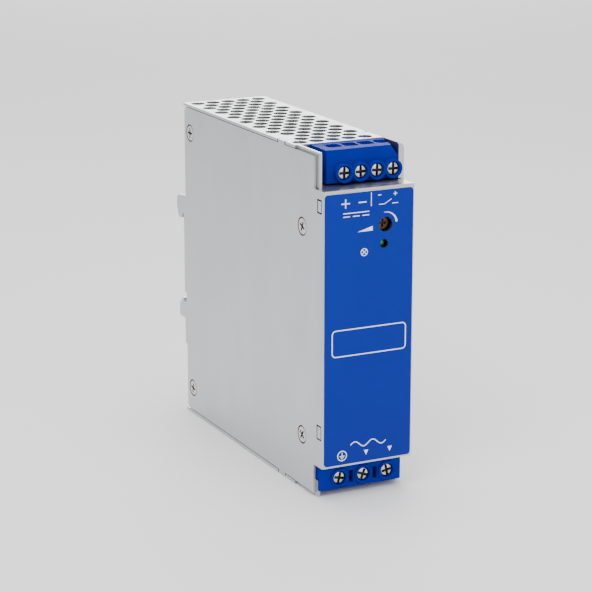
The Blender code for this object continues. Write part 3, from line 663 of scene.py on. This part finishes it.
def make_prints(front):
    """Generic symbols in place of the lettering: nothing here is a word, a number or a mark."""
    trimmer = axis_of("trimmer_rotor")
    lamp = axis_of("status_lamp")
    # Output polarity
    plus((-9.5, 17.3), 1.6, 0.42)
    bar(-4.5, 17.3, -1.5, 17.3, 0.42)
    bar(0.4, 14.2, 0.4, 19.0, 0.26)
    bar(3.0, 15.4, 4.2, 15.4, 0.30)
    plus((9.7, 15.4), 0.7, 0.28)
    # Direct current symbol
    bar(-10.4, 20.7, -0.4, 20.7, 0.32)
    for x in (-10.4, -6.7, -3.0):
        bar(x, 21.9, x + 2.6, 21.9, 0.32)
    # Relay contact symbol
    bar(3.4, 18.7, 5.5, 18.7, 0.26)
    bar(5.5, 18.7, 8.2, 17.2, 0.26)
    bar(8.5, 18.7, 10.8, 18.7, 0.26)
    # Rising wedge beside the trimmer
    PRINTS.append([(-4.9, 27.6), (1.0, 27.6), (1.0, 26.0)])
    # Crescent round the trimmer
    swing = arc(trimmer, 4.3, -100, -8, 24)
    PRINTS.append(taper(swing, [0.12 + 0.62 * index / 24 for index in range(25)]))
    # Lamp symbol
    centre = (-2.2, lamp[1] + 2.2)
    circle_line(centre, 1.25, 0.26)
    reach = 0.8
    bar(centre[0] - reach, centre[1] - reach, centre[0] + reach, centre[1] + reach, 0.3)
    bar(centre[0] - reach, centre[1] + reach, centre[0] - 0.15, centre[1] + 0.15, 0.3)
    bar(centre[0] + 0.15, centre[1] - 0.15, centre[0] + reach, centre[1] - reach, 0.3)
    # Blank nameplate
    rounded_frame((-14.4, 14.4), (61.8, 71.2), 1.4, 0.38)
    # Alternating current symbol
    wave = [(-7.0 + 14.0 * i / 48, 104.0 - 1.0 * math.sin(2 * math.pi * 2 * i / 48)) for i in range(49)]
    PRINTS.append(stroke(wave, 0.34))
    # Protective earth
    earth = (-10.3, 107.5)
    circle_line(earth, 1.75, 0.32)
    bar(earth[0], earth[1] - 1.2, earth[0], earth[1] - 0.1, 0.3)
    for row, half_width in enumerate((1.0, 0.65, 0.3)):
        drop = earth[1] + 0.1 + row * 0.5
        bar(earth[0] - half_width, drop, earth[0] + half_width, drop, 0.26)
    # Pointers to the other two terminals
    for x in (-0.8, 8.6):
        PRINTS.append([(x - 0.9, 106.6), (x + 0.9, 106.6), (x, 108.4)])

    bm = bmesh.new()
    for outline in PRINTS:
        prism_mesh(bm, outline, front + 0.005, front + PRINT_RAISED, forward)
    dress(new_object("label_print", bm, "print_white"), BODY, (), 0.0)


# ---------------------------------------------------------------- screws


def cross_outline(centre, reach, half, turn=0.0):
    points = []
    for quarter in range(4):
        angle = math.radians(90 * quarter + turn)
        for along, aside in ((half, half), (reach, half), (reach, -half)):
            points.append((along * math.cos(angle) + aside * math.sin(angle),
                           along * math.sin(angle) - aside * math.cos(angle)))
    points.sort(key=lambda p: math.atan2(p[1], p[0]))
    return [(centre[0] + a, centre[1] + b) for a, b in points]


def tapered_cross(centre, wide, narrow, top, bottom, place, turn=0.0):
    """Cross recess that closes towards its bottom, its walls in the dark painted shade finish; wide and
    narrow are (reach, half).
    """
    rings = [[place(a, b, level) for a, b in cross_outline(centre, reach, half, turn)]
             for (reach, half), level in ((wide, top), (narrow, bottom))]
    return loft("cutter", "screw_recess", rings)


def make_terminal_screw(node, turn):
    """Domed head with a slot and a cross, on a shank with the grooves of a thread."""
    centre = axis_of(node)
    radius, front, back = span_of(node)
    profile = ((radius - 0.42, front), (radius - 0.14, front - 0.10), (radius, front - 0.36),
               (radius, front - HEAD_UNDER), (SHANK_RADIUS, front - HEAD_UNDER),
               (SHANK_RADIUS, front - NECK_END))
    thread = front - NECK_END
    while thread - THREAD_PITCH > back + 0.4:
        profile += ((SHANK_RADIUS, thread - 0.2), (1.08, thread - 0.35), (SHANK_RADIUS, thread - 0.5))
        thread -= THREAD_PITCH
    profile += ((SHANK_RADIUS, back + 0.3), (1.0, back))
    screw = turned(node + "_body", "nickel_steel", profile, centre, 40)
    angle = math.radians(turn)
    side, reach = 0.40, radius + 0.6
    slot = []
    for a, b in ((-reach, -side), (reach, -side), (reach, side), (-reach, side)):
        slot.append((centre[0] + a * math.cos(angle) - b * math.sin(angle),
                     centre[1] + a * math.sin(angle) + b * math.cos(angle)))
    # The slot walls get the dark painted shade finish.
    cut(screw, prism("cutter", "screw_recess", slot, front - 0.85, front + 1, forward))
    tool = tapered_cross(centre, (1.95, CROSS_HALF), (1.5, 0.36), front + 0.07, front - 1.15, forward,
                         turn + CROSS_OFFSET)
    cut(screw, tool)
    dress(screw, node, (node,), 0.0)


def make_case_screws():
    for index, (depth, drop) in enumerate(CASE_SCREWS):
        name = "case_screw_%d" % (index + 1)
        profile = ((2.75, -HALF), (2.9, -HALF + 0.12), (1.4, -HALF + 0.95), (1.4, -HALF + 5.7),
                   (1.1, -HALF + 6.0))
        screw = turned(name + "_body", "nickel_steel", profile, (depth, drop), 40, across)
        tool = tapered_cross((depth, drop), (1.95, 0.42), (1.1, 0.28), -HALF - 0.05, -HALF + 0.7, across,
                             12.0 * index)
        cut(screw, tool)
        dress(screw, BODY, (name,), 0.0)


# ---------------------------------------------------------------- terminal blocks


def clamp_tools(prefix, index, face, up, half, entry):
    """Cutters for the well, the clamp chamber and the wire entry of one pole, and the depths of the entry."""
    cage_low, cage_high = corners_of("%s_cage_%d" % (prefix, index))
    x, axis_drop = axis_of("%s_screw_%d" % (prefix, index))
    wall_back = face - 3.1
    cage_half = (cage_high.z - cage_low.z) / 2
    cage_back = -cage_high.y - SEAT
    bar_front = -corners_of("%s_contact_%d" % (prefix, index))[0].y - SEAT
    cavity = (axis_drop - up * (cage_half + 0.2), axis_drop + up * (cage_half + 1.0))
    outside = -1.0 if up > 0 else HEIGHT + 1.0
    depths = (cage_back + CAGE_WALL, bar_front - GAP)
    tools = [box("cutter", None, (x - half - 0.2, x + half + 0.2), (cage_back - 0.3, wall_back), cavity)]
    tools.append(box("cutter", None, (x - entry, x + entry), depths, (outside, axis_drop - up * cage_half)))
    tail = axis_drop + up * (cage_half + 0.25)
    tools.append(box("cutter", None, (x - 1.5, x + 1.5), (face - 32.5, cage_back + 0.7),
                     (tail - up * 0.1, tail + up * 0.75)))
    well = ((2.75, face + 0.3), (2.5, face - 0.25), (2.5, face - 2.4))
    tools.append(turned("cutter", None, well, (x, axis_drop), 40))
    tools.append(prism("cutter", None, ring((x, axis_drop), 1.6, 20), wall_back - 1, face - 2.2, forward))
    return tools, depths


def funnel(x, entry, depths, top, bottom, grow):
    """Wire funnel: a rounded opening that narrows from the face of the block to the entry."""
    rings = []
    for drop, extra in ((top, grow), (top + (bottom - top) * 0.25, grow), (bottom, 0.0)):
        span = (depths[0] - extra, depths[1] + extra)
        outline = round_rect((x - entry - extra * 0.7, x + entry + extra * 0.7), span, 1.0 + extra * 0.6, 5)
        rings.append([upward(a, b, drop) for a, b in outline])
    return loft("cutter", None, rings)


def make_output_block():
    span = (BLOCK_LEFT, BLOCK_RIGHT)
    body = box("output_block_body", "blue_plastic", span, (OUT_BODY_BACK, OUT_BODY_FRONT), OUT_DROPS)
    tools = []
    for pole in range(1, 5):
        x, axis_drop = axis_of("output_screw_%d" % pole)
        collar = ring((x, axis_drop), OUT_RING, 48)
        join(body, prism("piece", None, collar, OUT_BODY_FRONT - 1, OUT_FACE, forward))
        pole_tools, depths = clamp_tools("output", pole, OUT_FACE, 1, *OUT_CLAMP)
        tools += pole_tools
        tools.append(funnel(x, OUT_CLAMP[1], depths, -0.5, 3.2, 0.55))
    under_roof = (OUT_BODY_BACK - 1, ROOF_FRONT + RUN_GAP)
    tools.append(box("cutter", None, (-HALF, HALF), under_roof, (-1.0, SHEET + RUN_GAP)))
    beside_wall = (OUT_BODY_BACK, RIGHT_FRONT + RUN_GAP)
    tools.append(box("cutter", None, (BLOCK_RIGHT, HALF), beside_wall, (-1.0, SHELF_DROP)))
    for tool in tools:
        cut(body, tool)
    # The right end is cut off on a slant towards the front and the top
    points = [across(OUT_BODY_FRONT + 1, -1.2, 11.5), across(OUT_BODY_BACK - 1, -1.2, 17.0),
              across(OUT_BODY_FRONT + 1, 5.6, 16.2), across(OUT_BODY_FRONT + 1, -1.2, 17.0)]
    corner = bmesh.new()
    verts = [corner.verts.new(point) for point in points]
    for face in ((0, 1, 2), (0, 2, 3), (0, 3, 1), (1, 3, 2)):
        corner.faces.new([verts[index] for index in face])
    cut(body, new_object("cutter", corner, None))
    dress(body, BODY, ("output_terminal_block",), 0.12)


def make_input_block():
    left = -INSIDE + GAP + SHEET + RUN_GAP
    span = (left, BLOCK_RIGHT)
    body = box("input_block_body", "blue_plastic", span, (IN_BODY_BACK, IN_BODY_FRONT), IN_DROPS)
    join_box(body, (-16.7, 0.0), (LOW_CHEEK_FRONT + RUN_GAP, IN_BODY_FRONT), IN_DROPS)
    join_box(body, (-16.7, 0.0), (LEFT_FRONT - 2.5, IN_BODY_FRONT), (IN_DROPS[0], LOW_CHEEK_DROP - RUN_GAP))
    tools = []
    for pole in range(1, 4):
        x, axis_drop = axis_of("input_screw_%d" % pole)
        octagon = ring((x, axis_drop), IN_RING, 8, 22.5)
        join(body, prism("piece", None, octagon, IN_BODY_FRONT - 1, IN_FACE, forward))
        pole_tools, depths = clamp_tools("input", pole, IN_FACE, -1, *IN_CLAMP)
        tools += pole_tools
        tools.append(funnel(x, IN_CLAMP[1], depths, HEIGHT - 1.0, 119.6, 0.6))
        if pole < 3:
            pitch = axis_of("input_screw_2")[0] - axis_of("input_screw_1")[0]
            middle = x + pitch / 2
            groove = (middle - 0.8, middle + 0.8)
            tools.append(box("cutter", None, groove, (IN_BODY_FRONT - 3.5, IN_FACE), (115.2, 119.6)))
    for tool in tools:
        cut(body, tool)
    dress(body, BODY, ("input_terminal_block",), 0.12)


# ---------------------------------------------------------------- rail clip


def make_bracket():
    """Back plate with two hooks, the pad that rests on the rail and the strut under the spring."""
    plate = (GAP, GAP + CLIP_SHEET)
    slot = SEAT + RAIL_SLOT
    hook = [(plate[0], HOOK_TOP), (8.2, 37.6)]
    hook += [(9.2, 38.2), (9.8, 39.2), (10.2, 40.8), (9.8, 43.0), (9.0, 45.0), (8.3, 46.1), (7.4, 46.6)]
    hook += [(slot, 46.2), (slot, RAIL_TOP), (SEAT, RAIL_TOP), (SEAT, 76.0), (plate[0], 76.0)]
    width = (-CLIP_HALF, CLIP_HALF)
    bracket = box("clip_bracket", "zinc_steel", width, (-plate[1], -plate[0]), (HOOK_TOP, 98.0))
    for side in (-1, 1):
        join(bracket, prism("piece", None, hook, side * CLIP_HALF, side * (CLIP_HALF - CLIP_SHEET), at_back))
    join_box(bracket, (-PAD_HALF, PAD_HALF), (-SEAT, -plate[0]), (RAIL_DROP - PAD_HALF, RAIL_DROP + PAD_HALF))
    join_box(bracket, (-2.4, 2.4), (-6.4, -plate[0]), (STRUT_DROP - 1.2, STRUT_DROP))
    join_box(bracket, (-2.4, 2.4), (-plate[1], -plate[0]), (97.0, STRUT_DROP))
    for node in ("bracket_screw_1", "bracket_screw_2"):
        cut(bracket, prism("cutter", None, ring(axis_of(node), 1.6, 20), -4, 2, forward))
    for node in ("latch_rivet_1", "latch_rivet_2"):
        cut(bracket, prism("cutter", None, ring(axis_of(node), 1.3, 20), -4, 2, forward))
    dress(bracket, BODY, ("rail_bracket",), 0.15)


def make_latch():
    """Sliding plate with two teeth, a window for the spring and a pull tab."""
    low = GAP + CLIP_SHEET + 0.1
    high = low + CLIP_SHEET - 0.1
    slot = SEAT + RAIL_SLOT
    tooth = [(low, LATCH_EDGE), (slot, LATCH_EDGE), (slot, LATCH_TOOTH), (5.6, LATCH_TOOTH), (8.4, 82.0)]
    tooth += [(8.5, 86.2), (8.1, 86.6), (high, 86.6), (low, 86.6)]
    latch = box("clip_latch", "zinc_steel", (-CLIP_HALF, CLIP_HALF), (-high, -low), (LATCH_EDGE + 0.8, 97.0))
    tongue = round_rect((-6.5, 6.5), (95.0, LATCH_END), 1.6, 6)
    join(latch, prism("piece", None, tongue, -high, -low, forward))
    for side in (-1, 1):
        join(latch, prism("piece", None, tooth, side * CLIP_HALF, side * (CLIP_HALF - CLIP_SHEET), at_back))
    cut_box(latch, (-2.8, 2.8), (-high - 1, -low + 1), (WINDOW_TOP, 107.0))
    join_box(latch, (-2.8, 2.8), (-6.4, -low), (WINDOW_TOP - 1.4, WINDOW_TOP))
    eye = round_rect((-2.6, 2.6), (LATCH_END - 5.0, LATCH_END - 2.4), 1.1, 6)
    cut(latch, prism("cutter", None, eye, -high - 1, -low + 1, forward))
    for node in ("latch_rivet_1", "latch_rivet_2"):
        x, drop = axis_of(node)
        guide = round_rect((x - 1.4, x + 1.4), (drop - 5.6, drop + 1.5), 1.39, 8)
        cut(latch, prism("cutter", None, guide, -high - 1, -low + 1, forward))
    dress(latch, "rail_latch", ("rail_latch",), 0.15)


def make_spring():
    """Compression spring with closed ends, built at the length of the CAD spring; on the real clip it
    shortens as the latch is pulled down.
    """
    low, high = corners_of("latch_spring")
    wire = SPRING_WIRE
    radius = (high.x - low.x) / 2 - wire
    centre_y = (low.y + high.y) / 2
    length = high.z - low.z - 2 * wire
    around = SPRING_SEGMENTS
    total = SPRING_TURNS * around
    closed = around * 0.5
    bm = bmesh.new()
    rings = []
    for index in range(total + 1):
        turn = 2 * math.pi * index / around
        live = min(max(index - closed, 0.0), total - around) / (total - around)
        ends = min(index, closed) / closed + max(index - (total - closed), 0.0) / closed
        height = low.z + wire + (length - 2 * SPRING_END_RISE * wire) * live + SPRING_END_RISE * wire * ends
        outward = Vector((math.cos(turn), math.sin(turn), 0.0))
        middle = Vector((0.0, centre_y, height)) + outward * radius
        points = []
        for side in range(SPRING_SIDES):
            angle = 2 * math.pi * side / SPRING_SIDES
            aside = outward * math.cos(angle) + Vector((0, 0, 1)) * math.sin(angle)
            points.append(middle + aside * wire)
        rings.append(points)
    loft_mesh(bm, rings)
    spring = new_object("clip_spring", bm, "spring_wire")
    dress(spring, BODY, ("latch_spring",), 0.0)
    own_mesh(spring)


def make_clip_fasteners():
    top = -GAP - CLIP_SHEET
    for node in ("bracket_screw_1", "bracket_screw_2"):
        centre = axis_of(node)
        profile = ((1.6, top - 1.4), (2.35, top - 1.15), (2.6, top - 0.7), (2.6, top - 0.1),
                   (SHANK_RADIUS, top - 0.1), (SHANK_RADIUS, 3.0))
        screw = turned(node + "_body", "nickel_steel", profile, centre, 36)
        cut(screw, tapered_cross(centre, (1.7, 0.36), (0.9, 0.24), top - 1.45, top - 0.5, forward, 20.0))
        dress(screw, BODY, (node,), 0.0)
    head = -(GAP + 2 * CLIP_SHEET + 0.2)
    for node in ("latch_rivet_1", "latch_rivet_2"):
        profile = ((1.0, head - 1.0), (1.7, head - 0.85), (2.15, head - 0.55), (2.3, head - 0.2), (2.3, head),
                   (1.1, head), (1.1, -GAP - 0.05))
        rivet = turned(node + "_body", "nickel_steel", profile, axis_of(node), 36)
        dress(rivet, BODY, (node,), 0.04)


# ---------------------------------------------------------------- controls


def make_controls():
    centre = axis_of("trimmer_rotor")
    radius, front, back = span_of("trimmer_rotor")
    profile = ((radius - 0.5, front - 0.12), (radius - 0.35, front), (radius - 0.12, front),
               (radius, front - 0.12), (radius, back))
    rotor = turned("trimmer_dial", "trimmer_amber", profile, centre, 40)
    cut(rotor, tapered_cross(centre, (1.45, 0.42), (1.3, 0.36), front + 0.05, front - 0.75, forward, 4.0))
    dress(rotor, "trimmer_rotor", ("trimmer_rotor",), 0.05)

    centre = axis_of("status_lamp")
    radius, front, back = span_of("status_lamp")
    profile = []
    for index in range(1, 9):
        angle = math.radians(90 * index / 8)
        profile.append((radius * math.sin(angle), front - radius * (1 - math.cos(angle))))
    profile += [(radius, back)]
    dress(turned("lamp_lens", "lamp_green", profile, centre, 32), BODY, ("status_lamp",), 0.0)


# ---------------------------------------------------------------- nodes that stay


def finish_nodes():
    """Give every CAD node the finish of its slot; the replaced ones are hidden and need none."""
    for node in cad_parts.values():
        for slot in node.material_slots:
            base = slot.material.name.split(".")[0]
            if base in LOOKS:
                slot.material = LOOKS[base]


# ---------------------------------------------------------------- stage


def area(name, place, target, size, energy):
    """White disk light, unseen by the camera."""
    light = bpy.data.lights.new(name, "AREA")
    light.shape = "DISK"
    light.size = size
    light.energy = energy
    lamp = bpy.data.objects.new(name, light)
    lamp.location = place
    lamp.rotation_euler = (Vector(target) - Vector(place)).to_track_quat("-Z", "Y").to_euler()
    lamp.visible_camera = False
    bpy.context.scene.collection.objects.link(lamp)


def make_stage():
    bm = bmesh.new()
    bmesh.ops.create_grid(bm, x_segments=1, y_segments=1, size=8.0)
    mesh = bpy.data.meshes.new("floor")
    bm.to_mesh(mesh)
    bm.free()
    floor = bpy.data.objects.new("floor", mesh)
    floor.location = (0.0, 0.0, CAD_BOX[0][2] - 0.0002)
    mesh.materials.append(look("floor_paper", (0.96, 0.96, 0.96), 0.9, spread=0.01, scale=3.0, bump=0.0))
    bpy.context.scene.collection.objects.link(floor)

    world = bpy.data.worlds.new("studio")
    world.use_nodes = True
    sky = world.node_tree.nodes["Background"]
    sky.inputs["Color"].default_value = (1.0, 1.0, 1.0, 1.0)
    sky.inputs["Strength"].default_value = WORLD
    bpy.context.scene.world = world

    area("key", (-0.55, -0.55, 0.95), LIT_POINT, 0.6, KEY)
    area("top", (0.05, 0.0, 0.95), LIT_POINT, 0.5, TOP)
    area("front", (0.35, -1.1, 0.35), LIT_POINT, 0.6, FRONT)
    area("back", (1.06, 2.10, 0.66), (0.0, -0.06, 0.06), 1.2, BACK)


def make_camera():
    azimuth, elevation = math.radians(AZIMUTH), math.radians(ELEVATION)
    level = math.cos(elevation)
    back = Vector((math.sin(azimuth) * level, -math.cos(azimuth) * level, math.sin(elevation)))
    data = bpy.data.cameras.new("camera")
    data.lens = LENS
    data.sensor_width = SENSOR
    data.clip_start = 0.01
    camera = bpy.data.objects.new("camera", data)
    camera.location = TARGET + back * DISTANCE
    camera.rotation_euler = (-back).to_track_quat("-Z", "Y").to_euler()
    bpy.context.scene.collection.objects.link(camera)
    bpy.context.scene.camera = camera


make_chassis()
make_cover()
label_front = make_label()
make_prints(label_front)
make_case_screws()
make_output_block()
make_input_block()
for number, angle in enumerate(OUTPUT_TURNS):
    make_terminal_screw("output_screw_%d" % (number + 1), angle)
for number, angle in enumerate(INPUT_TURNS):
    make_terminal_screw("input_screw_%d" % (number + 1), angle)
make_bracket()
make_latch()
make_spring()
make_clip_fasteners()
make_controls()
finish_nodes()
make_stage()
make_camera()
